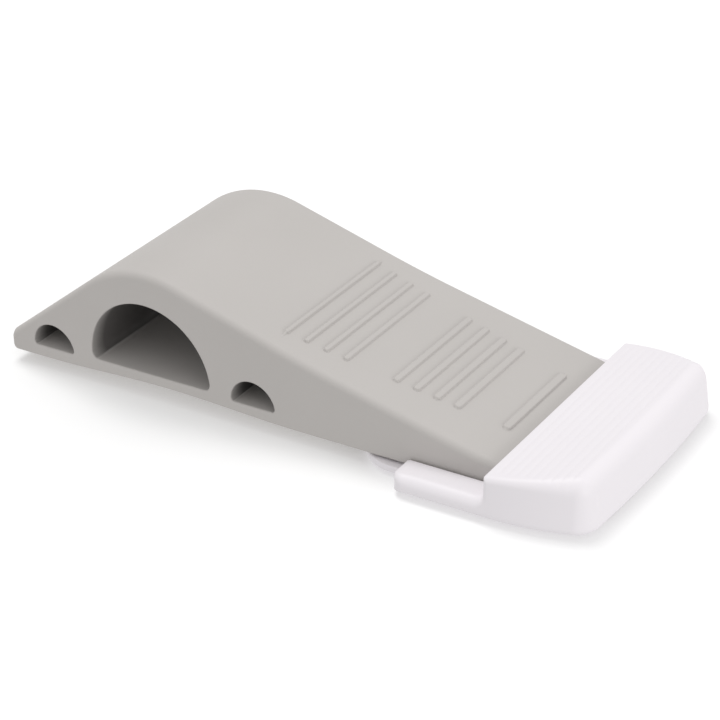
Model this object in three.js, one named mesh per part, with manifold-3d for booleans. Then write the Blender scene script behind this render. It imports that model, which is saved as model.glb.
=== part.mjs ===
// Wedge door stop with a stick-on holder.
//
// A soft rubber wedge slides into a white plastic holder that is stuck to a floor, wall or door
// with a foam tape pad.  Millimetres.  X runs from the wedge's blunt nose to the closed end of
// the holder, Y across the width, Z up.  The origin is the centre of the footprint, at the
// lowest face.

import * as THREE from 'three';
import { mergeVertices } from 'three/addons/utils/BufferGeometryUtils.js';
import Module from 'manifold-3d';

const wasm = await Module();
wasm.setup();

// ---------------------------------------------------------------- driving dimensions

const wedge = {
  width: 45,
  length: 128.8,
  height: 26.2,
  noseHeight: 4.0,
  noseTopRadius: 2.0,
  noseSoleRadius: 1.4,
  humpAhead: 38.1,       // apex of the hump, behind the nose
  humpRadius: 24.5,
  noseSlope: 36.5,       // degrees
  upperSlope: 17.0,      // degrees, just behind the hump
  lowerSlope: 13.8,      // degrees, from mid length to the tip
  slopeBlendRadius: 300,
  slopeBlendAt: 22,      // start of the blend, past the upper slope's start
  tipRadius: 1.2,
  archStart: 9,          // the sole is flat up to here, arched after it
  archEnd: 74,
  archRise: 1.0,
  edge: 0.8,             // rounding of the two long side edges
};

const tunnels = {
  behindNose: 37.3,      // centre of the large tunnel
  largeRadius: 15.0,
  largeCentre: 4.1,      // above the sole
  largeFloor: 3.4,
  smallRadius: 5.3,
  smallCentre: 3.0,
  smallFloor: 2.8,
  smallSpacing: 25.4,    // from the large tunnel's centre to each small one's
};

const ribs = {
  firstBehindNose: 68.1,
  pitch: 4.2,
  groups: [[0, 4], [23.1, 4], [45.7, 1]],   // start along the slope's plan, and count
  halfLength: 17.0,
  taper: 0.115,          // loss of half length per mm towards the tip
  width: 1.1,
  proud: 0.5,
  root: 0.8,             // how deep a rib's solid reaches into the wedge
};

const holder = {
  clearance: 0.4,        // round the wedge
  wall: 7.0,             // side walls at their foot
  draft: 0.11,           // sides and closed end lean in by this much per mm of height
  plate: 1.4,            // back plate
  cheekStart: 98.0,      // behind the nose
  cheekRim: 1.9,         // above the wedge's sole
  coverStart: 118.6,
  coverFront: 6.8,       // top of the cover above the sole, at its front edge
  coverBack: 9.4,        // and at the closed end
  end: 140.4,
  taperStart: 119.3,     // the sides curve inwards from here to the end
  taperDrop: 2.2,
  endCorner: 4.5,
  endCornerEase: 1.0,    // softens the corner where the side curve meets it
  endBow: 0.9,
  endTopRadius: 4,
  startCorner: 3,
  stepFillet: 1.0,       // at the foot of the step up to the cover
  tongueHalfWidth: 24.0,
  tongueReach: 13.5,       // how far the tongue's round end reaches past its sides
  tongueShoulder: 95.2,
  tongueRoot: 12,        // how far the tongue's solid reaches back under the box
};

const pad = {
  inset: 4,              // from the holder's end and the tongue's tip
  sideInset: 6,          // from the tongue's sides
  front: 4,              // further inset at the tongue's tip
  recess: 0.4,           // depth of the recess in the back plate
  recessGap: 0.35,       // round the pad, inside the recess
  thickness: 0.9,
  cornerRadius: 3,
  frontRadius: 9,
  faceGap: 0.02,         // between pad and plate, and between pad and liner
  linerThickness: 0.15,
  linerOverhang: 1.2,    // the liner is larger than the pad, so that a finger can lift it
};

// ---------------------------------------------------------------- positions that follow

const padBottom = pad.linerThickness + pad.faceGap;
const padTop = padBottom + pad.thickness;
const recessTop = padTop + pad.faceGap;
const plateBottom = recessTop - pad.recess;
const plateTop = plateBottom + holder.plate;
const sole = plateTop + holder.clearance;       // height of the wedge's flat sole
const nose = -holder.end / 2;                   // X of the nose
const holderHalf = wedge.width / 2 + holder.clearance + holder.wall;
const radians = THREE.MathUtils.degToRad;
const past = 5;                                 // how far cutting solids stick out

// ---------------------------------------------------------------- solids and booleans

function toSolid(geometry) {
  const bare = geometry.clone();
  bare.deleteAttribute('normal');
  bare.deleteAttribute('uv');
  const merged = mergeVertices(bare, 1e-4);
  const corners = merged.index.array;
  const kept = [];
  for (let i = 0; i < corners.length; i += 3) {
    const [a, b, c] = [corners[i], corners[i + 1], corners[i + 2]];
    if (a !== b && b !== c && c !== a) {
      kept.push(a, b, c);
    }
  }
  return new wasm.Manifold(new wasm.Mesh({
    numProp: 3,
    vertProperties: new Float32Array(merged.attributes.position.array),
    triVerts: new Uint32Array(kept),
  }));
}

function toGeometry(solid) {
  const mesh = solid.getMesh();
  const geometry = new THREE.BufferGeometry();
  geometry.setAttribute('position', new THREE.BufferAttribute(mesh.vertProperties, 3));
  geometry.setIndex(new THREE.BufferAttribute(mesh.triVerts, 1));
  geometry.computeVertexNormals();
  return geometry;
}

// A side profile (X, Z) pushed across the width, centred on Y = 0.
function acrossWidth(shape, width, bevel = 0) {
  const geometry = new THREE.ExtrudeGeometry(shape, {
    depth: width - 2 * bevel,
    steps: 1,
    curveSegments: 10,
    bevelEnabled: bevel > 0,
    bevelThickness: bevel,
    bevelSize: bevel,
    bevelOffset: -bevel,
    bevelSegments: 2,
  });
  geometry.translate(0, 0, bevel - width / 2);
  geometry.rotateX(Math.PI / 2);
  return geometry;
}

// A plan outline (X, Y) raised from one height to another.
function upward(shape, bottom, top) {
  const geometry = new THREE.ExtrudeGeometry(shape, {
    depth: top - bottom,
    steps: 1,
    curveSegments: 8,
    bevelEnabled: false,
  });
  geometry.translate(0, 0, bottom);
  return geometry;
}

function piece(name, geometry, look) {
  const mesh = new THREE.Mesh(geometry, new THREE.MeshStandardMaterial(look));
  mesh.name = name;
  return mesh;
}

// ---------------------------------------------------------------- the wedge's own lines

const hump = {
  x: nose + wedge.humpAhead,
  z: sole + wedge.height - wedge.humpRadius,
};

// Height of the upper surface behind the hump at X.
function slopeHeight(x) {
  const steep = radians(wedge.upperSlope);
  const gentle = radians(wedge.lowerSlope);
  const startX = hump.x + wedge.humpRadius * Math.sin(steep);
  const startZ = hump.z + wedge.humpRadius * Math.cos(steep);
  const blendX = startX + wedge.slopeBlendAt;
  const blendZ = startZ - Math.tan(steep) * wedge.slopeBlendAt;
  const r = wedge.slopeBlendRadius;
  const leaveX = blendX + r * (Math.sin(steep) - Math.sin(gentle));
  const leaveZ = blendZ - r * (Math.cos(gentle) - Math.cos(steep));
  if (x <= blendX) {
    return startZ - Math.tan(steep) * (x - startX);
  }
  if (x >= leaveX) {
    return leaveZ - Math.tan(gentle) * (x - leaveX);
  }
  const centreX = blendX + r * Math.sin(steep);
  const centreZ = blendZ + r * Math.cos(steep);
  return centreZ - Math.sqrt(r * r - (x - centreX) ** 2);
}

// The sole: flat land at the nose, a shallow arch, then flat to the tip.
function soleHeight(x) {
  const a = nose + wedge.archStart;
  const b = nose + wedge.archEnd;
  const t = (x - a) / (b - a);
  return t <= 0 || t >= 1 ? sole : sole + wedge.archRise * Math.sin(Math.PI * t) ** 2;
}

function wedgeProfile() {
  const shape = new THREE.Shape();
  const tip = nose + wedge.length;
  const leanAngle = radians(wedge.noseSlope);
  const archStart = nose + wedge.archStart;
  const archEnd = nose + wedge.archEnd;
  const archSteps = 12;

  shape.moveTo(nose + wedge.noseSoleRadius, sole);
  shape.lineTo(archStart, sole);
  for (let i = 1; i <= archSteps; i += 1) {
    const x = THREE.MathUtils.lerp(archStart, archEnd, i / archSteps);
    shape.lineTo(x, soleHeight(x));
  }
  shape.lineTo(tip - wedge.tipRadius, sole);
  shape.quadraticCurveTo(tip, sole, tip, sole + wedge.tipRadius);
  shape.lineTo(tip, slopeHeight(tip) - wedge.tipRadius);
  shape.quadraticCurveTo(tip, slopeHeight(tip), tip - wedge.tipRadius, slopeHeight(tip - wedge.tipRadius));

  const slopeStart = hump.x + wedge.humpRadius * Math.sin(radians(wedge.upperSlope));
  const slopeSteps = 14;
  for (let i = 1; i < slopeSteps; i += 1) {
    const x = THREE.MathUtils.lerp(tip - wedge.tipRadius, slopeStart, i / slopeSteps);
    shape.lineTo(x, slopeHeight(x));
  }
  shape.absarc(hump.x, hump.z, wedge.humpRadius,
    Math.PI / 2 - radians(wedge.upperSlope), Math.PI / 2 + leanAngle, false);
  const noseTop = sole + wedge.noseHeight;
  shape.lineTo(nose + wedge.noseTopRadius * Math.cos(leanAngle),
    noseTop + wedge.noseTopRadius * Math.sin(leanAngle));
  shape.quadraticCurveTo(nose, noseTop, nose, noseTop - wedge.noseTopRadius);
  shape.lineTo(nose, sole + wedge.noseSoleRadius);
  shape.quadraticCurveTo(nose, sole, nose + wedge.noseSoleRadius, sole);
  return shape;
}

// A round-topped tunnel with a flat floor.
function tunnelSection(x, centre, radius, floor) {
  const shape = new THREE.Shape();
  const drop = Math.asin((centre - floor) / radius);
  shape.absarc(x, sole + centre, radius, -drop, Math.PI + drop, false);
  shape.closePath();
  return shape;
}

function tunnelSections() {
  const middle = nose + tunnels.behindNose;
  const { smallSpacing, smallCentre, smallRadius, smallFloor } = tunnels;
  return [
    tunnelSection(middle, tunnels.largeCentre, tunnels.largeRadius, tunnels.largeFloor),
    tunnelSection(middle - smallSpacing, smallCentre, smallRadius, smallFloor),
    tunnelSection(middle + smallSpacing, smallCentre, smallRadius, smallFloor),
  ];
}

// One raised bar with round ends, lying across the slope.
function ribSolid(x, halfLength) {
  const plan = new THREE.Shape();
  const r = ribs.width / 2;
  plan.absarc(0, halfLength - r, r, 0, Math.PI, false);
  plan.absarc(0, r - halfLength, r, Math.PI, 2 * Math.PI, false);
  plan.closePath();
  const geometry = upward(plan, -ribs.root, ribs.proud);
  const fall = Math.atan2(slopeHeight(x - 1) - slopeHeight(x + 1), 2);
  geometry.rotateY(fall);
  geometry.translate(x, 0, slopeHeight(x));
  return toSolid(geometry);
}

function ribPlaces() {
  const places = [];
  for (const [start, count] of ribs.groups) {
    for (let i = 0; i < count; i += 1) {
      const along = start + i * ribs.pitch;
      places.push({
        x: nose + ribs.firstBehindNose + along,
        halfLength: ribs.halfLength - ribs.taper * along,
      });
    }
  }
  return places;
}

function rubberWedge() {
  let solid = toSolid(acrossWidth(wedgeProfile(), wedge.width, wedge.edge));
  for (const section of tunnelSections()) {
    solid = solid.subtract(toSolid(acrossWidth(section, wedge.width + 2 * past)));
  }
  for (const place of ribPlaces()) {
    solid = solid.add(ribSolid(place.x, place.halfLength));
  }
  return piece('rubber_wedge', toGeometry(solid), {
    color: '#c0bbb6',
    roughness: 0.62,
    metalness: 0,
  });
}

// ---------------------------------------------------------------- the holder

// Outline of the holder's box seen from above: its sides curve inwards to a bowed, round-cornered end.
function boxPlan() {
  const start = nose + holder.cheekStart;
  const end = nose + holder.end;
  const half = holderHalf;
  const taperX = nose + holder.taperStart;
  const face = end - holder.endBow;
  const cornerX = face - holder.endCorner;
  const taperY = half - holder.taperDrop;
  const faceY = taperY - holder.endCorner;
  const shape = new THREE.Shape();
  shape.moveTo(start + holder.startCorner, -half);
  shape.lineTo(taperX, -half);
  shape.quadraticCurveTo((taperX + cornerX) / 2, -half, cornerX, -taperY);
  shape.quadraticCurveTo(face, holder.endCornerEase - taperY, face, -faceY);
  shape.quadraticCurveTo(end + holder.endBow, 0, face, faceY);
  shape.quadraticCurveTo(face, taperY - holder.endCornerEase, cornerX, taperY);
  shape.quadraticCurveTo((taperX + cornerX) / 2, half, taperX, half);
  shape.lineTo(start + holder.startCorner, half);
  shape.quadraticCurveTo(start, half, start, half - holder.startCorner);
  shape.lineTo(start, holder.startCorner - half);
  shape.quadraticCurveTo(start, -half, start + holder.startCorner, -half);
  return shape;
}

// The tongue: the back plate's round end, which lies under the wedge.
function tonguePlan() {
  const shoulder = nose + holder.tongueShoulder;
  const half = holder.tongueHalfWidth;
  const tail = shoulder + holder.tongueRoot;
  const shape = new THREE.Shape();
  shape.moveTo(tail, -half);
  shape.lineTo(tail, half);
  shape.lineTo(shoulder, half);
  shape.absellipse(shoulder, 0, holder.tongueReach, half, Math.PI / 2, 1.5 * Math.PI, false, 0);
  shape.closePath();
  return shape;
}

// Leans the sides and the closed end in towards the top; the open end stays upright.
function withDraft(geometry) {
  const spots = geometry.attributes.position;
  const start = nose + holder.cheekStart;
  const length = holder.end - holder.cheekStart;
  for (let i = 0; i < spots.count; i += 1) {
    const lean = holder.draft * (spots.getZ(i) - plateBottom);
    spots.setX(i, start + (spots.getX(i) - start) * (1 - lean / length));
    spots.setY(i, spots.getY(i) * (1 - lean / holderHalf));
  }
  return geometry;
}

// Side view of the holder: low cheeks, a step up to the sloped cover, a rounded closed end.
function holderProfile() {
  const start = nose + holder.cheekStart - past;
  const coverX = nose + holder.coverStart;
  const end = nose + holder.end;
  const rim = sole + holder.cheekRim;
  const front = sole + holder.coverFront;
  const back = sole + holder.coverBack;
  const r = holder.endTopRadius;
  const shape = new THREE.Shape();
  shape.moveTo(start, plateBottom);
  shape.lineTo(end, plateBottom);
  shape.lineTo(end, back - r);
  shape.quadraticCurveTo(end, back, end - r, back);
  shape.lineTo(coverX, front);
  shape.lineTo(coverX, rim + holder.stepFillet);
  shape.quadraticCurveTo(coverX, rim, coverX - holder.stepFillet, rim);
  shape.lineTo(start, rim);
  shape.closePath();
  return shape;
}

// The room for the wedge: its own side view grown by the clearance.
function pocketProfile() {
  const start = nose + holder.cheekStart - past;
  const tip = nose + wedge.length + holder.clearance;
  const shape = new THREE.Shape();
  shape.moveTo(start, plateTop);
  shape.lineTo(tip, plateTop);
  shape.lineTo(tip, slopeHeight(tip) + holder.clearance);
  shape.lineTo(start, slopeHeight(start) + holder.clearance);
  shape.closePath();
  return shape;
}

function wallHolder() {
  const outline = toSolid(withDraft(upward(boxPlan(), plateBottom, sole + holder.coverBack + past)));
  const sideView = toSolid(acrossWidth(holderProfile(), 2 * (holderHalf + past)));
  const room = toSolid(acrossWidth(pocketProfile(), wedge.width + 2 * holder.clearance));
  const tongue = toSolid(upward(tonguePlan(), plateBottom, plateTop));
  const recess = toSolid(upward(padPlan(pad.recessGap), plateBottom - past, recessTop));
  const solid = outline.intersect(sideView).subtract(room).add(tongue).subtract(recess);
  return piece('wall_holder', toGeometry(solid), {
    color: '#efedf1',
    roughness: 0.3,
    metalness: 0,
  });
}

// ---------------------------------------------------------------- tape pad and its liner

// The pad's outline from above, grown on all sides.
function padPlan(grow = 0) {
  const start = nose + holder.tongueShoulder - holder.tongueReach + pad.inset + pad.front - grow;
  const end = nose + holder.end - pad.inset + grow;
  const half = holder.tongueHalfWidth - pad.sideInset + grow;
  const r = pad.cornerRadius;
  const frontR = pad.frontRadius;
  const shape = new THREE.Shape();
  shape.moveTo(start + frontR, -half);
  shape.lineTo(end - r, -half);
  shape.quadraticCurveTo(end, -half, end, r - half);
  shape.lineTo(end, half - r);
  shape.quadraticCurveTo(end, half, end - r, half);
  shape.lineTo(start + frontR, half);
  shape.quadraticCurveTo(start, half, start, half - frontR);
  shape.lineTo(start, frontR - half);
  shape.quadraticCurveTo(start, -half, start + frontR, -half);
  return shape;
}

function adhesivePad() {
  const solid = toSolid(upward(padPlan(), padBottom, padTop));
  return piece('adhesive_pad', toGeometry(solid), {
    color: '#e9e9e6',
    roughness: 0.9,
    metalness: 0,
  });
}

function releaseLiner() {
  const solid = toSolid(upward(padPlan(pad.linerOverhang), 0, pad.linerThickness));
  return piece('release_liner', toGeometry(solid), {
    color: '#f2f0e6',
    roughness: 0.45,
    metalness: 0,
  });
}

const group = new THREE.Group();
group.add(rubberWedge(), wallHolder(), adhesivePad(), releaseLiner());

export default group;
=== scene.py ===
"""Door stop: a soft rubber wedge stored in a white plastic holder.  Blender 4.5."""

import math

import bpy
import numpy as np
from mathutils import Matrix, Vector
from mathutils.geometry import tessellate_polygon


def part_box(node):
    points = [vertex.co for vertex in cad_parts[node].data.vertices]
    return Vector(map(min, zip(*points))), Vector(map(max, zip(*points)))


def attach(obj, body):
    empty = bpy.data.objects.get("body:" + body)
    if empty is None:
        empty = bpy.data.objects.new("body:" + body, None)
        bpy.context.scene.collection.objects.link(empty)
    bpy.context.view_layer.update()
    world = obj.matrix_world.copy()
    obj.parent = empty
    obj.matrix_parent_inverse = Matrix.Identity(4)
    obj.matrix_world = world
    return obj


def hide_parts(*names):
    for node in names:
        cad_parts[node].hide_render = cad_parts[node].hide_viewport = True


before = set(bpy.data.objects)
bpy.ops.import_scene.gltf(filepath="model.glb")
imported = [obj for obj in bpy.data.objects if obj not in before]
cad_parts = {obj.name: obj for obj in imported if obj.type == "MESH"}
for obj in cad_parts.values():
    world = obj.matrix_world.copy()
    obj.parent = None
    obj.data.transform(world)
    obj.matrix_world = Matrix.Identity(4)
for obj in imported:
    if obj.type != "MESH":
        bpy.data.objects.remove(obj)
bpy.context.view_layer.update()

MM = 0.001
TINY = 1e-12
QUARTER = math.pi / 2


def corners_mm(node):
    """Lowest and highest corner of a CAD node, in millimetres."""
    low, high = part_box(node)
    return np.array(low) / MM, np.array(high) / MM


WEDGE_LOW, WEDGE_HIGH = corners_mm("rubber_wedge")
HOLDER_LOW, HOLDER_HIGH = corners_mm("wall_holder")
PAD_LOW, PAD_HIGH = corners_mm("adhesive_pad")
LINER_LOW, LINER_HIGH = corners_mm("release_liner")

NOSE = WEDGE_LOW[0]
SOLE = WEDGE_LOW[2]
WEDGE_HALF = WEDGE_HIGH[1]


# ------------------------------------------------------------------ mesh helpers

def new_object(name, points_mm, faces, material, normals=None):
    """An object from points in millimetres and face corner lists."""
    mesh = bpy.data.meshes.new(name)
    mesh.from_pydata((np.asarray(points_mm) * MM).tolist(), [], faces)
    mesh.validate(clean_customdata=False)
    mesh.polygons.foreach_set("use_smooth", [True] * len(mesh.polygons))
    mesh.update()
    if normals is not None:
        mesh.normals_split_custom_set_from_vertices(np.asarray(normals).tolist())
    mesh.materials.append(material)
    obj = bpy.data.objects.new(name, mesh)
    bpy.context.scene.collection.objects.link(obj)
    return obj


def area_normals(points, faces):
    """Vertex normals weighted by face area, so that large flat faces stay flat."""
    total = np.zeros_like(points)
    for corner_count in sorted({len(f) for f in faces}):
        group = np.array([f for f in faces if len(f) == corner_count])
        p = points[group]
        normal = np.zeros((len(group), 3))
        for i in range(corner_count):
            normal += np.cross(p[:, i], p[:, (i + 1) % corner_count])
        for i in range(corner_count):
            np.add.at(total, group[:, i], normal)
    length = np.linalg.norm(total, axis=1, keepdims=True)
    return total / np.maximum(length, TINY)


def arc(centre_x, centre_z, radius, start, end, steps):
    """Points along part of a circle, from one angle to another."""
    angle = np.linspace(start, end, steps + 1)
    return np.stack([centre_x + radius * np.cos(angle), centre_z + radius * np.sin(angle)], 1)


def outline_normals(outline):
    """Outward directions of a counterclockwise outline."""
    tangent = np.roll(outline, -1, 0) - np.roll(outline, 1, 0)
    normal = np.stack([tangent[:, 1], -tangent[:, 0]], 1)
    return normal / np.linalg.norm(normal, axis=1, keepdims=True)


class Builder:
    """Collects points and faces."""

    def __init__(self):
        self.points = []
        self.faces = []

    def ring(self, points):
        """Adds points and gives back their numbers."""
        start = len(self.points)
        self.points.extend(map(tuple, points))
        return np.arange(start, start + len(points))

    def join(self, ring_a, ring_b):
        """Quads between two closed rings of the same length."""
        n = len(ring_a)
        for i in range(n):
            j = (i + 1) % n
            self.faces.append((int(ring_a[i]), int(ring_b[i]), int(ring_b[j]), int(ring_a[j])))

    def join_all(self, rings, outward=True):
        """Quads between each ring and the next."""
        for a, b in zip(rings, rings[1:]):
            self.join(*((a, b) if outward else (b, a)))


# ------------------------------------------------------------------ the wedge's side view

LENGTH = WEDGE_HIGH[0] - NOSE
HUMP_TOP = SOLE + 26.2
HUMP_RADIUS = 24.5
HUMP_X = NOSE + 38.1
HUMP_Z = HUMP_TOP - HUMP_RADIUS
NOSE_SLOPE = math.radians(36.5)
UPPER_SLOPE = math.radians(17.0)
LOWER_SLOPE = math.radians(13.8)
BLEND_RADIUS = 300.0
BLEND_AFTER = 22.0
NOSE_TOP_RADIUS = 2.0
NOSE_SOLE_RADIUS = 1.4
TIP_RADIUS = 1.2
ARCH_START = NOSE + 9.0
ARCH_END = NOSE + 74.0
ARCH_RISE = 1.0

SLOPE_START_X = HUMP_X + HUMP_RADIUS * math.sin(UPPER_SLOPE)
SLOPE_START_Z = HUMP_Z + HUMP_RADIUS * math.cos(UPPER_SLOPE)


def slope_height(x):
    """Height of the long upper surface at X."""
    x = np.asarray(x, float)
    blend_x = SLOPE_START_X + BLEND_AFTER
    blend_z = SLOPE_START_Z - math.tan(UPPER_SLOPE) * BLEND_AFTER
    leave_x = blend_x + BLEND_RADIUS * (math.sin(UPPER_SLOPE) - math.sin(LOWER_SLOPE))
    leave_z = blend_z - BLEND_RADIUS * (math.cos(LOWER_SLOPE) - math.cos(UPPER_SLOPE))
    centre_x = blend_x + BLEND_RADIUS * math.sin(UPPER_SLOPE)
    centre_z = blend_z + BLEND_RADIUS * math.cos(UPPER_SLOPE)
    steep = SLOPE_START_Z - math.tan(UPPER_SLOPE) * (x - SLOPE_START_X)
    gentle = leave_z - math.tan(LOWER_SLOPE) * (x - leave_x)
    curved = centre_z - np.sqrt(np.maximum(BLEND_RADIUS ** 2 - (x - centre_x) ** 2, 0))
    return np.where(x <= blend_x, steep, np.where(x >= leave_x, gentle, curved))


def sole_height(x):
    """The flat heel, the shallow arch and the flat rest of the sole."""
    t = np.clip((np.asarray(x, float) - ARCH_START) / (ARCH_END - ARCH_START), 0, 1)
    return SOLE + ARCH_RISE * np.sin(np.pi * t) ** 2


# ------------------------------------------------------------------ ribs on the slope

RIB_FIRST = NOSE + 68.1
RIB_PITCH = 4.2
RIB_GROUPS = ((0.0, 4), (23.1, 4), (45.7, 1))
RIB_HALF_LENGTH = 17.0
RIB_TAPER = 0.115
RIB_WIDTH_FIRST = 1.0
RIB_WIDTH_LAST = 1.7
RIB_PROUD = 0.5
RIB_EDGE = 0.28
RIB_MARGIN = 0.5          # room kept clear of the plain rows beside a rib
RIB_ROWS = np.array([-0.28, -0.06, 0.02, 0.06, 0.12, 0.2, 0.28, 0.4])   # in from a rib's edge


def rib_list():
    """Each rib's X, half length and half width."""
    last = RIB_GROUPS[-1][0]
    ribs = []
    for start, count in RIB_GROUPS:
        for i in range(count):
            along = start + i * RIB_PITCH
            width = RIB_WIDTH_FIRST + (RIB_WIDTH_LAST - RIB_WIDTH_FIRST) * along / last
            ribs.append((RIB_FIRST + along, RIB_HALF_LENGTH - RIB_TAPER * along, width / 2))
    return ribs


RIBS = rib_list()


def rib_rise(x, y):
    """How far the ribs stand out of the slope at X, Y."""
    rise = np.zeros(np.broadcast(x, y).shape)
    for rib_x, half_length, half_width in RIBS:
        past_end = np.maximum(np.abs(y) - (half_length - half_width), 0)
        inside = half_width - np.hypot(x - rib_x, past_end)
        t = np.clip(inside / RIB_EDGE, 0, 1)
        rise = np.maximum(rise, RIB_PROUD * np.sqrt(1 - (1 - t) ** 2))
    return rise


# ------------------------------------------------------------------ rubber wedge

EDGE_TOP = 1.6
EDGE_SOLE = 0.6
EDGE_STEPS = 8
EDGE_SHARE = 0.42         # of the wedge's thickness, where it is too thin for the full edge
NOSE_EDGE = 1.5
NOSE_EDGE_ROWS = 3
MOUTH_EDGE = 0.35
MOUTH_STEPS = 5
TUNNEL_RINGS = 12
TUNNEL_CORNER_STEPS = 6
TUNNEL_FLOOR_STEPS = 8
WALL_SHADE_DEPTH = 0.8     # this far behind the mouth, a tunnel's wall reaches its darkest painted shade
FLOOR_SHADE_DEPTH = 60.0   # deeper than half the width, so the painted shade only partly darkens the floor, which the light reaches
FLOOR_FACING = 0.9        # how squarely a wall must face up before it counts as the floor, which gets less painted shade

# how finely each stretch of the side view is cut
SOLE_STEPS = (4, 34, 10)
SLOPE_STEPS = 48
HUMP_STEPS = 44
RAMP_STEPS = 14
NOSE_TOP_STEPS = 8
NOSE_LOW_STEPS = 6
TIP_STEPS = 5

# how finely the width is cut
MIDDLE_HALF = 10.0
MIDDLE_COLUMNS = 6
RIB_END_COLUMNS = 6
OUTER_COLUMNS = [18.0, 19.2]
COLUMN_GAP = 0.1


def rib_samples():
    """X positions for the slope's rows: close together on each rib's edges."""
    xs = list(np.linspace(SLOPE_START_X, NOSE + LENGTH - TIP_RADIUS, SLOPE_STEPS))
    for rib_x, _, half_width in RIBS:
        xs = [x for x in xs if abs(x - rib_x) > half_width + RIB_MARGIN]
        inner = half_width - RIB_ROWS[RIB_ROWS < half_width]
        xs += list(rib_x + inner) + list(rib_x - inner) + [rib_x]
    return np.array(sorted(xs))[::-1]


def wedge_outline():
    """The side view's outline, counterclockwise, with each point's edge radius
    and whether it is on the long slope."""
    tip = NOSE + LENGTH
    before, arch, after = SOLE_STEPS
    sole_x = np.concatenate([
        np.linspace(NOSE + NOSE_SOLE_RADIUS, ARCH_START, before)[:-1],
        np.linspace(ARCH_START, ARCH_END, arch),
        np.linspace(ARCH_END, tip - TIP_RADIUS, after)[1:],
    ])
    sole = np.stack([sole_x, sole_height(sole_x)], 1)
    tip_low = arc(tip - TIP_RADIUS, SOLE + TIP_RADIUS, TIP_RADIUS, -QUARTER, 0, TIP_STEPS)[1:]
    top_z = float(slope_height(tip - TIP_RADIUS))
    tip_high = arc(tip - TIP_RADIUS, top_z - TIP_RADIUS, TIP_RADIUS,
                   0, QUARTER - LOWER_SLOPE, TIP_STEPS)
    slope_x = rib_samples()[1:]
    slope = np.stack([slope_x, slope_height(slope_x)], 1)
    hump = arc(HUMP_X, HUMP_Z, HUMP_RADIUS,
               QUARTER - UPPER_SLOPE, QUARTER + NOSE_SLOPE, HUMP_STEPS)[1:]
    front_end = hump[-1]
    # the nose's top corner is tangent to the front slope and to the upright front
    corner_x = NOSE + NOSE_TOP_RADIUS
    line_z = front_end[1] + math.tan(NOSE_SLOPE) * (corner_x - front_end[0])
    corner_z = line_z - NOSE_TOP_RADIUS / math.cos(NOSE_SLOPE)
    nose_top = arc(corner_x, corner_z, NOSE_TOP_RADIUS,
                   QUARTER + NOSE_SLOPE, math.pi, NOSE_TOP_STEPS)
    ramp = np.linspace(front_end, nose_top[0], RAMP_STEPS)[1:-1]
    nose_low = arc(NOSE + NOSE_SOLE_RADIUS, SOLE + NOSE_SOLE_RADIUS, NOSE_SOLE_RADIUS,
                   math.pi, 3 * QUARTER, NOSE_LOW_STEPS)[:-1]
    outline = np.concatenate([sole, tip_low, tip_high, slope, hump, ramp, nose_top, nose_low])
    thickness = outline[:, 1] - sole_height(outline[:, 0])
    thin_edge = np.maximum(EDGE_SOLE, thickness * EDGE_SHARE)
    radius = np.where(thickness < 2 * EDGE_TOP, thin_edge, EDGE_TOP)
    lower = len(sole) + len(tip_low)
    radius[:lower] = EDGE_SOLE
    nose_rows = len(nose_low) + NOSE_EDGE_ROWS
    radius[-nose_rows:] = np.linspace(NOSE_EDGE, EDGE_SOLE, nose_rows)
    on_slope = np.zeros(len(outline), bool)
    start = lower + len(tip_high)
    on_slope[start:start + len(slope)] = True
    return outline, radius, on_slope


def rib_columns():
    """Y positions across the top: close together where the ribs end."""
    ys = list(np.linspace(0, MIDDLE_HALF, MIDDLE_COLUMNS))
    turn = np.linspace(0, QUARTER, RIB_END_COLUMNS)
    for _, half_length, half_width in RIBS:
        ys += list(half_length - half_width * (1 - np.sin(turn)))
    ys = sorted(ys + OUTER_COLUMNS)
    kept = [ys[0]]
    for y in ys[1:]:
        if y - kept[-1] > COLUMN_GAP:
            kept.append(y)
    half = np.array(kept)
    return np.concatenate([-half[:0:-1], half])


def tunnel_outline(x, centre_z, radius, floor_z, corner, steps):
    """A round-topped tunnel mouth with a flat floor and soft lower corners, counterclockwise."""
    # the corner's circle touches the floor, and the large arc from inside
    corner_z = floor_z + corner
    reach = math.sqrt((radius - corner) ** 2 - (corner_z - centre_z) ** 2)
    join = math.atan2(corner_z - centre_z, reach)
    right = arc(x + reach, corner_z, corner, -QUARTER, join, TUNNEL_CORNER_STEPS)
    crown = arc(x, centre_z, radius, join, math.pi - join, steps)[1:-1]
    left = arc(x - reach, corner_z, corner, math.pi - join, 3 * QUARTER, TUNNEL_CORNER_STEPS)
    floor = np.linspace(left[-1], right[0], TUNNEL_FLOOR_STEPS)[1:-1]
    return np.concatenate([right, crown, left, floor])


LARGE_X = NOSE + 37.3
SMALL_APART = 25.4
# centre height, radius, floor height, corner radius and steps
LARGE_TUNNEL = (SOLE + 4.1, 15.0, SOLE + 3.4, 1.6, 56)
SMALL_TUNNEL = (SOLE + 3.0, 5.3, SOLE + 2.8, 0.8, 32)
TUNNELS = (
    tunnel_outline(LARGE_X, *LARGE_TUNNEL),
    tunnel_outline(LARGE_X - SMALL_APART, *SMALL_TUNNEL),
    tunnel_outline(LARGE_X + SMALL_APART, *SMALL_TUNNEL),
)


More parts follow.
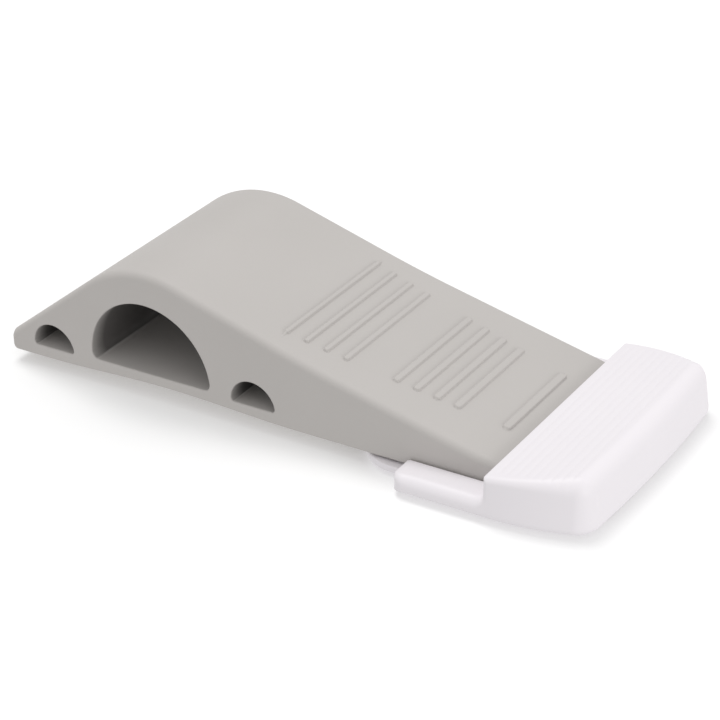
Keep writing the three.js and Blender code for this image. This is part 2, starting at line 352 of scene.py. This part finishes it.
def make_wedge(material):
    """The rubber wedge: rings from side to side, tunnels with painted shade inside, and the two
    flat side faces.
    """
    outline, radius, on_slope = wedge_outline()
    normal = outline_normals(outline)
    builder = Builder()
    rings = []

    def add_ring(y, inset):
        flat = outline - normal * inset[:, None]
        rise = np.where(on_slope, rib_rise(outline[:, 0], y), 0.0)
        flat = flat + normal * rise[:, None]
        points = np.stack([flat[:, 0], np.broadcast_to(y, len(outline)), flat[:, 1]], 1)
        rings.append(builder.ring(points))

    turns = np.linspace(QUARTER, 0, EDGE_STEPS + 1)
    for turn in turns:
        inset = radius * (1 - math.cos(turn))
        add_ring(-(WEDGE_HALF - radius + radius * math.sin(turn)), inset)
    for y in rib_columns():
        add_ring(np.full(len(outline), y), np.zeros(len(outline)))
    for turn in turns[::-1]:
        inset = radius * (1 - math.cos(turn))
        add_ring(WEDGE_HALF - radius + radius * math.sin(turn), inset)
    builder.join_all(rings)

    mouth_rings = {-1: [], 1: []}
    shade_depth = [np.full(len(builder.points), np.inf)]
    for section in TUNNELS:
        out = outline_normals(section)
        flare = np.linspace(0, QUARTER, MOUTH_STEPS)
        depth = [(-WEDGE_HALF + MOUTH_EDGE * (1 - math.cos(t)), MOUTH_EDGE * (1 - math.sin(t)))
                 for t in flare]
        depth += [(y, 0.0) for y in np.linspace(-WEDGE_HALF, WEDGE_HALF, TUNNEL_RINGS)[1:-1]]
        depth += [(-y, grow) for y, grow in depth[:len(flare)][::-1]]
        tunnel_rings = []
        for y, grow in depth:
            grown = section + out * grow
            points = np.stack([grown[:, 0], np.full(len(grown), y), grown[:, 1]], 1)
            tunnel_rings.append(builder.ring(points))
            # the walls and crown take their painted shade just behind the mouth; the up-facing
            # floor, which light reaches, takes little
            on_floor = np.clip((-out[:, 1] - FLOOR_FACING) / (1 - FLOOR_FACING), 0, 1)
            shade_depth.append(WALL_SHADE_DEPTH + (FLOOR_SHADE_DEPTH - WALL_SHADE_DEPTH) * on_floor)
        builder.join_all(tunnel_rings, outward=False)
        mouth_rings[-1].append(tunnel_rings[0])
        mouth_rings[1].append(tunnel_rings[-1])

    points = np.array(builder.points)
    # painted shade: each point darkens with its distance behind the mouth
    from_side = WEDGE_HALF - np.abs(points[:, 1])
    painted_shade_amount = np.clip(from_side / np.concatenate(shade_depth), 0, 1)
    for side, outer in ((-1, rings[0]), (1, rings[-1])):
        loops = [outer] + mouth_rings[side]
        flat_loops = [[Vector((points[i][0], points[i][2], 0)) for i in loop] for loop in loops]
        index = np.concatenate(loops)
        for triangle in tessellate_polygon(flat_loops):
            a, b, c = (int(index[t]) for t in triangle)
            u = points[b] - points[a]
            v = points[c] - points[a]
            facing = np.cross(u, v)[1]
            builder.faces.append((a, b, c) if facing * side > 0 else (a, c, b))
    normals = area_normals(points, builder.faces)
    wedge = new_object("rubber_wedge_skin", points, builder.faces, material, normals)
    # the painted shade goes to the material as a point attribute
    shade = wedge.data.attributes.new("painted_tunnel_shade", "FLOAT", "POINT")
    shade.data.foreach_set("value", painted_shade_amount)
    return wedge


# ------------------------------------------------------------------ holder as one rounded solid

def cut_round(a, b, r):
    """Where two solids meet, keeping what both hold, with a rounded edge of radius r."""
    grown = np.hypot(np.maximum(a + r, 0), np.maximum(b + r, 0))
    return np.minimum(-r, np.maximum(a, b)) + grown


def join_round(a, b, r):
    """Two solids joined with a hollow fillet of radius r."""
    return -cut_round(-a, -b, r)


HOLDER_HALF = HOLDER_HIGH[1]
PLATE_BOTTOM = HOLDER_LOW[2]
CLEARANCE = 0.4
DRAFT = 0.11
PLATE_TOP = SOLE - CLEARANCE
CHEEK_START = NOSE + 99.0
CHEEK_RIM = SOLE + 1.9
COVER_START = NOSE + 118.6
COVER_FRONT = SOLE + 6.8
COVER_BACK = SOLE + 9.7
END = HOLDER_HIGH[0]
TAPER_START = NOSE + 119.6
TAPER_RADIUS = 51.5
END_BOW = 1.35
END_CORNER = 3.3
START_CORNER = 2.4
TONGUE_SHOULDER = NOSE + 95.2
TONGUE_HALF = 24.0
TONGUE_REACH = 13.5
TONGUE_FILLET = 2.6
SMALL_SLOPE = 1e-6        # keeps a division safe on the tongue's centre line
BOTTOM_EDGE = 0.4
BLOCK_BOTTOM_EDGE = 1.7
RIM_EDGE = 1.9
RIM_START_EDGE = 0.5
RIM_START_EASE = 4.0
COVER_EDGE = 1.2
COVER_END_EDGE = 4.4
CRISP_EDGE = 0.45
RECESS_EDGE = 0.2
TONGUE_ROOT = 6.0
STEP_FILLET = 0.8
STEP_EASE = 1.2
RECESS_TOP = PAD_HIGH[2] + 0.02
RECESS_GAP = 0.35
PAD_CORNER = 3.0
PAD_FRONT_CORNER = 9.0

COVER_RIB_PITCH = 1.75
COVER_RIB_COUNT = 9
COVER_RIB_DEPTH = 0.07
COVER_RIB_FIRST = COVER_START + 2.2
COVER_RIB_LAST = COVER_RIB_FIRST + COVER_RIB_PITCH * (COVER_RIB_COUNT - 1)
COVER_RIB_FADE = 0.2
COVER_RIB_END_INSET = 3.0
COVER_RIB_END_FADE = 1.0
COVER_RIB_SHARPNESS = 3


def box_distance(x, y):
    """Distance outside the two curved sides and the bowed closed end, from above."""
    past_taper = np.maximum(x - TAPER_START, 0)
    half = HOLDER_HALF - past_taper ** 2 / (2 * TAPER_RADIUS)
    side = (np.abs(y) - half) / np.sqrt(1 + (past_taper / TAPER_RADIUS) ** 2)
    end = x - (END - END_BOW * (y / HOLDER_HALF) ** 2)
    return cut_round(side, end, END_CORNER)


def tongue_distance(x, y):
    """Distance outside the round tongue, an ellipse with straight sides past its shoulder."""
    dx = np.minimum(x - TONGUE_SHOULDER, 0) / TONGUE_REACH
    dy = y / TONGUE_HALF
    reach = np.sqrt(dx ** 2 + dy ** 2)
    steepness = np.sqrt((dx / TONGUE_REACH) ** 2 + (dy / TONGUE_HALF) ** 2)
    slope = steepness / np.maximum(reach, SMALL_SLOPE)
    return (reach - 1) / np.maximum(slope, SMALL_SLOPE)


def cover_height(x):
    """Top of the cover, without its fine cross ribs."""
    t = (x - COVER_START) / (END - COVER_START)
    return COVER_FRONT + (COVER_BACK - COVER_FRONT) * t


def cover_ribs(x, y):
    """Shallow grooves across the cover, faded out at their ends."""
    margin = COVER_RIB_PITCH / 2
    wave = 0.5 + 0.5 * np.cos(2 * np.pi * (x - COVER_RIB_FIRST) / COVER_RIB_PITCH)
    within = np.clip((x - COVER_RIB_FIRST + margin) / COVER_RIB_FADE, 0, 1)
    within = within * np.clip((COVER_RIB_LAST + margin - x) / COVER_RIB_FADE, 0, 1)
    past_end = HOLDER_HALF - COVER_RIB_END_INSET - np.abs(y)
    ends = np.clip(past_end / COVER_RIB_END_FADE, 0, 1)
    return COVER_RIB_DEPTH * wave ** COVER_RIB_SHARPNESS * within * ends


def pad_distance(x, y, grow):
    """Distance outside the tape pad's outline grown on all sides, from above."""
    start = PAD_LOW[0] - grow
    end = PAD_HIGH[0] + grow
    half = PAD_HIGH[1] + grow
    box = cut_round(np.abs(y) - half, x - end, PAD_CORNER)
    return cut_round(box, start - x, PAD_FRONT_CORNER)


def holder_distance(x, y, z):
    """Distance outside the holder: a leaning box with a step, a pocket, a tongue and a recess."""
    box = box_distance(x, y) + DRAFT * (z - PLATE_BOTTOM)
    plan = cut_round(box, CHEEK_START - x, START_CORNER)
    tongue = np.maximum(tongue_distance(x, y), x - CHEEK_START - TONGUE_ROOT)
    plate_plan = join_round(plan, tongue, TONGUE_FILLET)
    plate = cut_round(plate_plan, z - PLATE_TOP, BOTTOM_EDGE)

    toward_end = np.clip((x - COVER_START) / (END - COVER_START), 0, 1)
    toward_rim = np.clip((COVER_START - x) / STEP_EASE, 0, 1)
    edge = COVER_EDGE + (COVER_END_EDGE - COVER_EDGE) * toward_end ** 2
    edge = edge + (RIM_EDGE - COVER_EDGE) * toward_rim
    toward_start = np.clip(1 - (x - CHEEK_START) / RIM_START_EASE, 0, 1)
    edge = edge + (RIM_START_EDGE - RIM_EDGE) * toward_start ** 2
    cover = cut_round(z - cover_height(x) + cover_ribs(x, y), COVER_START - x, CRISP_EDGE)
    height = join_round(z - CHEEK_RIM, cover, STEP_FILLET)
    block = cut_round(plan, height, edge)

    room_side = np.abs(y) - (WEDGE_HALF + CLEARANCE)
    room_end = x - (NOSE + LENGTH + CLEARANCE)
    room_top = (z - slope_height(x) - CLEARANCE) * math.cos(LOWER_SLOPE)
    room = np.maximum(np.maximum(room_side, room_end), room_top)
    block = cut_round(block, -room, CRISP_EDGE)

    solid = np.minimum(block, plate)
    toward_block = np.clip((x - CHEEK_START) / START_CORNER, 0, 1)
    bottom_edge = BOTTOM_EDGE + (BLOCK_BOTTOM_EDGE - BOTTOM_EDGE) * toward_block
    solid = cut_round(solid, PLATE_BOTTOM - z, bottom_edge)
    recess = np.maximum(pad_distance(x, y, RECESS_GAP), z - RECESS_TOP)
    return cut_round(solid, -recess, RECESS_EDGE)


def spaced(stops):
    """Grid positions from (start, end, step) spans."""
    out = []
    for start, end, step in stops:
        count = max(1, int(round((end - start) / step)))
        out.extend(np.linspace(start, end, count + 1)[:-1])
    out.append(stops[-1][1])
    return np.array(out)


def surface_of(distance, xs, ys, zs):
    """Points and faces of the surface where distance is 0, on an uneven box grid."""
    gx, gy, gz = np.meshgrid(xs, ys, zs, indexing="ij")
    field = distance(gx, gy, gz)
    shape = tuple(n - 1 for n in field.shape)
    total = np.zeros(shape + (3,))
    count = np.zeros(shape)
    grid = np.stack([gx, gy, gz], -1)
    crossings = []
    for axis in range(3):
        lower = [slice(None)] * 3
        upper = [slice(None)] * 3
        lower[axis] = slice(0, -1)
        upper[axis] = slice(1, None)
        a = field[tuple(lower)]
        b = field[tuple(upper)]
        crosses = (a < 0) != (b < 0)
        where = np.argwhere(crosses)
        fa = a[crosses]
        fb = b[crosses]
        t = (fa / (fa - fb))[:, None]
        start = grid[tuple(lower)][crosses]
        stop = grid[tuple(upper)][crosses]
        spot = start + (stop - start) * t
        others = [i for i in range(3) if i != axis]
        for du in (0, 1):
            for dv in (0, 1):
                cell = where.copy()
                cell[:, others[0]] -= du
                cell[:, others[1]] -= dv
                ok = np.all(cell >= 0, 1) & np.all(cell < np.array(shape), 1)
                key = tuple(cell[ok].T)
                np.add.at(total, key, spot[ok])
                np.add.at(count, key, 1)
        crossings.append((axis, others, where, fa < 0))
    used = count > 0
    index = np.full(shape, -1)
    index[used] = np.arange(used.sum())
    points = total[used] / count[used][:, None]
    faces = []
    for axis, others, where, inside_first in crossings:
        u, v = others
        corners = []
        for du, dv in ((1, 1), (0, 1), (0, 0), (1, 0)):
            cell = where.copy()
            cell[:, u] -= du
            cell[:, v] -= dv
            corners.append(index[tuple(cell.T)])
        quad = np.stack(corners, 1)
        flip = inside_first if axis == 1 else ~inside_first
        quad[flip] = quad[flip][:, ::-1]
        faces.append(quad)
    return points, np.concatenate(faces)


GRADIENT_STEP = 0.01
SETTLE_ROUNDS = 4
SETTLE_REACH = 0.1
LEAST_SLOPE_SQUARED = 0.2


def gradient(distance, points):
    """The direction in which a distance function grows, at each point."""
    out = np.zeros_like(points)
    for axis in range(3):
        shift = np.zeros(3)
        shift[axis] = GRADIENT_STEP
        ahead = points + shift
        behind = points - shift
        out[:, axis] = distance(*ahead.T) - distance(*behind.T)
    return out / (2 * GRADIENT_STEP)


# start, end and step of each stretch of the grid: finest where the edges are
GRID_X = (
    (HOLDER_LOW[0] - 0.6, CHEEK_START - 1.0, 0.7),
    (CHEEK_START - 1.0, CHEEK_START + 2.0, 0.25),
    (CHEEK_START + 2.0, COVER_START - 1.5, 1.0),
    (COVER_START - 1.5, COVER_START - 0.5, 0.17),
    (COVER_START - 0.5, COVER_START + 1.0, 0.12),
    (COVER_START + 1.0, END + 0.5, 0.25),
)
GRID_HALF_Y = (
    (0.0, 12.0, 1.5),
    (12.0, 20.0, 0.8),
    (20.0, WEDGE_HALF - 0.4, 0.45),
    (WEDGE_HALF - 0.4, HOLDER_HALF + 0.4, 0.18),
)
GRID_Z = (
    (PLATE_BOTTOM - 0.4, CHEEK_RIM + 0.4, 0.22),
    (CHEEK_RIM + 0.4, COVER_FRONT - 1.6, 0.25),
    (COVER_FRONT - 1.6, COVER_FRONT + 0.4, 0.16),
    (COVER_FRONT + 0.4, COVER_BACK + 0.4, 0.25),
)


def make_holder(material):
    """The holder's surface, with each point settled exactly where the distance is 0."""
    half_ys = spaced(GRID_HALF_Y)
    xs = spaced(GRID_X)
    ys = np.concatenate([-half_ys[:0:-1], half_ys])
    zs = spaced(GRID_Z)
    points, faces = surface_of(holder_distance, xs, ys, zs)
    for _ in range(SETTLE_ROUNDS):
        slope = gradient(holder_distance, points)
        value = holder_distance(*points.T)
        size = np.maximum((slope ** 2).sum(1), LEAST_SLOPE_SQUARED)
        move = np.clip(value / size, -SETTLE_REACH, SETTLE_REACH)
        points = points - slope * move[:, None]
    normals = gradient(holder_distance, points)
    normals /= np.maximum(np.linalg.norm(normals, axis=1, keepdims=True), TINY)
    quads = [tuple(map(int, face)) for face in faces]
    return new_object("wall_holder_skin", points, quads, material, normals)


# ------------------------------------------------------------------ tape pad and its liner

PAD_CORNER_STEPS = 10
FOAM_EDGE = 0.16
FOAM_WAIST = 0.12
FILM_EDGE = 0.05
SHEET_EDGE_STEPS = 5
SHEET_SIDE_STEPS = 7
SHEET_FACE_SPREAD = np.linspace(0.08, 0.94, 8)    # of each ring on the flat faces


def pad_outline(low, high):
    """The pad's outline from above, counterclockwise, inside the given box."""
    r = PAD_CORNER
    f = PAD_FRONT_CORNER
    half = high[1]
    return np.concatenate([
        arc(low[0] + f, f - half, f, -2 * QUARTER, -QUARTER, PAD_CORNER_STEPS * 2),
        arc(high[0] - r, r - half, r, -QUARTER, 0, PAD_CORNER_STEPS),
        arc(high[0] - r, half - r, r, 0, QUARTER, PAD_CORNER_STEPS),
        arc(low[0] + f, half - f, f, QUARTER, 2 * QUARTER, PAD_CORNER_STEPS * 2),
    ])


def make_sheet(name, low, high, edge, waist, material):
    """A flat piece with the pad's outline, rounded edges and slightly hollow sides."""
    outline = pad_outline(low, high)
    out = outline_normals(outline)
    centre = np.array([(low[0] + high[0]) / 2, 0.0])
    builder = Builder()
    rings = []

    def add_ring(z, inset, spread=1.0):
        flat = centre + (outline - out * inset - centre) * spread
        rings.append(builder.ring(np.column_stack([flat, np.full(len(flat), z)])))

    for spread in SHEET_FACE_SPREAD:
        add_ring(low[2], edge, spread)
    for turn in np.linspace(0, QUARTER, SHEET_EDGE_STEPS):
        add_ring(low[2] + edge * (1 - math.cos(turn)), edge * (1 - math.sin(turn)))
    for t in np.linspace(0, 1, SHEET_SIDE_STEPS)[1:-1]:
        z = low[2] + edge + (high[2] - low[2] - 2 * edge) * t
        add_ring(z, waist * math.sin(math.pi * t))
    for turn in np.linspace(QUARTER, 0, SHEET_EDGE_STEPS):
        add_ring(high[2] - edge * (1 - math.cos(turn)), edge * (1 - math.sin(turn)))
    for spread in SHEET_FACE_SPREAD[::-1]:
        add_ring(high[2], edge, spread)
    builder.join_all(rings, outward=False)
    builder.faces.append(tuple(int(i) for i in rings[0][::-1]))
    builder.faces.append(tuple(int(i) for i in rings[-1]))
    points = np.array(builder.points)
    return new_object(name, points, builder.faces, material, area_normals(points, builder.faces))


# ------------------------------------------------------------------ materials

# each piece's darkest and lightest colour, and its lowest and highest roughness
RUBBER_COLOURS = (0.500, 0.477, 0.457, 1), (0.540, 0.515, 0.495, 1)
RUBBER_ROUGHNESS = (0.56, 0.56, 0.56, 1), (0.66, 0.66, 0.66, 1)
# painted shade: the colour the tunnels' walls are darkened towards
TUNNEL_SHADE_COLOUR = (0.105, 0.098, 0.094, 1)
PLASTIC_COLOURS = (0.850, 0.815, 0.845, 1), (0.885, 0.850, 0.880, 1)
PLASTIC_ROUGHNESS = (0.38, 0.38, 0.38, 1), (0.50, 0.50, 0.50, 1)
FOAM_COLOURS = (0.70, 0.70, 0.68, 1), (0.82, 0.82, 0.80, 1)
FILM_COLOURS = (0.80, 0.77, 0.68, 1), (0.85, 0.82, 0.74, 1)
PAPER_COLOURS = (0.90, 0.90, 0.90, 1), (0.92, 0.92, 0.92, 1)
WHITE = (1, 1, 1, 1)


def material_with_nodes(name):
    """A new material, its node tree and its shader."""
    material = bpy.data.materials.new(name)
    material.use_nodes = True
    tree = material.node_tree
    return material, tree, tree.nodes["Principled BSDF"]


def noise(tree, scale, detail, roughness=0.5):
    """A noise fixed to the piece; its scale is per metre."""
    coords = tree.nodes.new("ShaderNodeTexCoord")
    node = tree.nodes.new("ShaderNodeTexNoise")
    node.inputs["Scale"].default_value = scale
    node.inputs["Detail"].default_value = detail
    node.inputs["Roughness"].default_value = roughness
    tree.links.new(coords.outputs["Object"], node.inputs["Vector"])
    return node.outputs["Fac"]


def add_ramp(tree, source, socket, ends, start=0.35, end=0.65):
    """Feeds a socket with colours between two ends, by the source's value."""
    node = tree.nodes.new("ShaderNodeValToRGB")
    node.color_ramp.elements[0].position = start
    node.color_ramp.elements[0].color = ends[0]
    node.color_ramp.elements[1].position = end
    node.color_ramp.elements[1].color = ends[1]
    tree.links.new(source, node.inputs["Fac"])
    tree.links.new(node.outputs["Color"], socket)


def add_bump(tree, shader, source, strength, distance):
    """Fine relief; the distance is in metres."""
    node = tree.nodes.new("ShaderNodeBump")
    node.inputs["Strength"].default_value = strength
    node.inputs["Distance"].default_value = distance
    tree.links.new(source, node.inputs["Height"])
    tree.links.new(node.outputs["Normal"], shader.inputs["Normal"])


def rubber():
    """Mottled satin rubber with fine grain, and painted shade inside the tunnels."""
    material, tree, shader = material_with_nodes("wedge_rubber")
    # painted shade: the tunnels' point attribute mixes the tunnel shade colour into the rubber's
    # colour
    depth = tree.nodes.new("ShaderNodeAttribute")
    depth.attribute_name = "painted_tunnel_shade"
    shade_mix = tree.nodes.new("ShaderNodeMix")
    shade_mix.data_type = "RGBA"
    cloud = noise(tree, scale=38.0, detail=5.0)
    add_ramp(tree, cloud, shade_mix.inputs["A"], RUBBER_COLOURS, start=0.0, end=1.0)
    shade_mix.inputs["B"].default_value = TUNNEL_SHADE_COLOUR
    tree.links.new(depth.outputs["Fac"], shade_mix.inputs["Factor"])
    tree.links.new(shade_mix.outputs["Result"], shader.inputs["Base Color"])
    patch = noise(tree, scale=160.0, detail=3.0)
    add_ramp(tree, patch, shader.inputs["Roughness"], RUBBER_ROUGHNESS)
    grain = noise(tree, scale=2600.0, detail=6.0, roughness=0.6)
    add_bump(tree, shader, grain, strength=0.25, distance=0.00012)
    shader.inputs["Specular IOR Level"].default_value = 0.35
    return material


def white_plastic():
    """Low-gloss moulded plastic with slight variation."""
    material, tree, shader = material_with_nodes("holder_plastic")
    cloud = noise(tree, scale=30.0, detail=3.0)
    add_ramp(tree, cloud, shader.inputs["Base Color"], PLASTIC_COLOURS, start=0.0, end=1.0)
    patch = noise(tree, scale=70.0, detail=2.0)
    add_ramp(tree, patch, shader.inputs["Roughness"], PLASTIC_ROUGHNESS, start=0.0, end=1.0)
    grain = noise(tree, scale=2200.0, detail=3.0)
    add_bump(tree, shader, grain, strength=0.06, distance=0.00005)
    shader.inputs["Specular IOR Level"].default_value = 0.4
    return material


def foam():
    """The tape's cellular foam."""
    material, tree, shader = material_with_nodes("tape_foam")
    coords = tree.nodes.new("ShaderNodeTexCoord")
    voronoi = tree.nodes.new("ShaderNodeTexVoronoi")
    voronoi.inputs["Scale"].default_value = 2400.0
    tree.links.new(coords.outputs["Object"], voronoi.inputs["Vector"])
    cells = voronoi.outputs["Distance"]
    add_ramp(tree, cells, shader.inputs["Base Color"], FOAM_COLOURS, start=0.0, end=0.5)
    add_bump(tree, shader, cells, strength=0.5, distance=0.0001)
    shader.inputs["Roughness"].default_value = 0.92
    return material


def liner_film():
    """The liner's waxy film."""
    material, tree, shader = material_with_nodes("liner_film")
    cloud = noise(tree, scale=60.0, detail=3.0)
    add_ramp(tree, cloud, shader.inputs["Base Color"], FILM_COLOURS)
    add_bump(tree, shader, cloud, strength=0.2, distance=0.0002)
    shader.inputs["Roughness"].default_value = 0.4
    return material


def stage_paper():
    """The floor's matt white paper, glowing slightly."""
    material, tree, shader = material_with_nodes("stage_paper")
    cloud = noise(tree, scale=4.0, detail=2.0)
    add_ramp(tree, cloud, shader.inputs["Base Color"], PAPER_COLOURS)
    shader.inputs["Roughness"].default_value = 0.9
    shader.inputs["Emission Color"].default_value = WHITE
    shader.inputs["Emission Strength"].default_value = 0.12
    return material


# ------------------------------------------------------------------ camera, lights, floor

CAMERA_PLACE = Vector((NOSE + 288.3, -312.3, SOLE + 216.93)) * MM
CAMERA_AZIMUTH = math.radians(34.51)
CAMERA_ELEVATION = math.radians(29.2)
CAMERA_ROLL = math.radians(-3.33)
CAMERA_LENS = 107.7
SENSOR_WIDTH = 36.0

# from here on in metres
FLOOR_HALF = 12.0
FLOOR_HEIGHT = -0.00005
WORLD_STRENGTH = 0.72
LIGHTS = (
    # name, place, size and power
    ("key", (-0.5, 0.3, 1.55), (0.8, 0.8), 9.0),
    ("end", (0.95, -0.25, 0.2), (0.6, 0.4), 2.4),
)


def add_camera():
    """The camera at the photo's viewing angle."""
    data = bpy.data.cameras.new("camera")
    data.lens = CAMERA_LENS
    data.sensor_width = SENSOR_WIDTH
    camera = bpy.data.objects.new("camera", data)
    bpy.context.scene.collection.objects.link(camera)
    flat = math.cos(CAMERA_ELEVATION)
    forward = Vector((-math.sin(CAMERA_AZIMUTH) * flat, math.cos(CAMERA_AZIMUTH) * flat,
                      -math.sin(CAMERA_ELEVATION)))
    right = forward.cross(Vector((0, 0, 1))).normalized()
    up = right.cross(forward)
    cos_roll = math.cos(CAMERA_ROLL)
    sin_roll = math.sin(CAMERA_ROLL)
    rolled_right = right * cos_roll + up * sin_roll
    rolled_up = up * cos_roll - right * sin_roll
    turn = Matrix((rolled_right, rolled_up, -forward)).transposed()
    camera.matrix_world = Matrix.Translation(CAMERA_PLACE) @ turn.to_4x4()
    bpy.context.scene.camera = camera


def add_area(name, place, size, power):
    """A rectangular light that faces the origin."""
    data = bpy.data.lights.new(name, "AREA")
    data.shape = "RECTANGLE"
    data.size = size[0]
    data.size_y = size[1]
    data.energy = power
    lamp = bpy.data.objects.new(name, data)
    bpy.context.scene.collection.objects.link(lamp)
    lamp.location = place
    lamp.rotation_euler = (-Vector(place)).to_track_quat("-Z", "Y").to_euler()


def add_stage(material):
    """The floor, the lights and the white surroundings."""
    corners = ((-1, -1), (1, -1), (1, 1), (-1, 1))
    points = np.array([(x * FLOOR_HALF, y * FLOOR_HALF, FLOOR_HEIGHT) for x, y in corners])
    floor = new_object("floor", points / MM, [(0, 1, 2, 3)], material)
    floor.visible_diffuse = False
    for light in LIGHTS:
        add_area(*light)
    world = bpy.data.worlds.new("world")
    world.use_nodes = True
    background = world.node_tree.nodes["Background"]
    background.inputs["Color"].default_value = WHITE
    background.inputs["Strength"].default_value = WORLD_STRENGTH
    bpy.context.scene.world = world
    bpy.context.scene.view_settings.view_transform = "Standard"


# ------------------------------------------------------------------ pieces

add_camera()
add_stage(stage_paper())

wedge_skin = make_wedge(rubber())
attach(wedge_skin, "wedge")
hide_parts("rubber_wedge")

holder_skin = make_holder(white_plastic())
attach(holder_skin, "holder")
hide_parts("wall_holder")

pad_skin = make_sheet("adhesive_pad_skin", PAD_LOW, PAD_HIGH, FOAM_EDGE, FOAM_WAIST, foam())
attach(pad_skin, "holder")
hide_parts("adhesive_pad")

liner_skin = make_sheet("release_liner_skin", LINER_LOW, LINER_HIGH, FILM_EDGE, 0.0, liner_film())
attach(liner_skin, "holder")
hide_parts("release_liner")
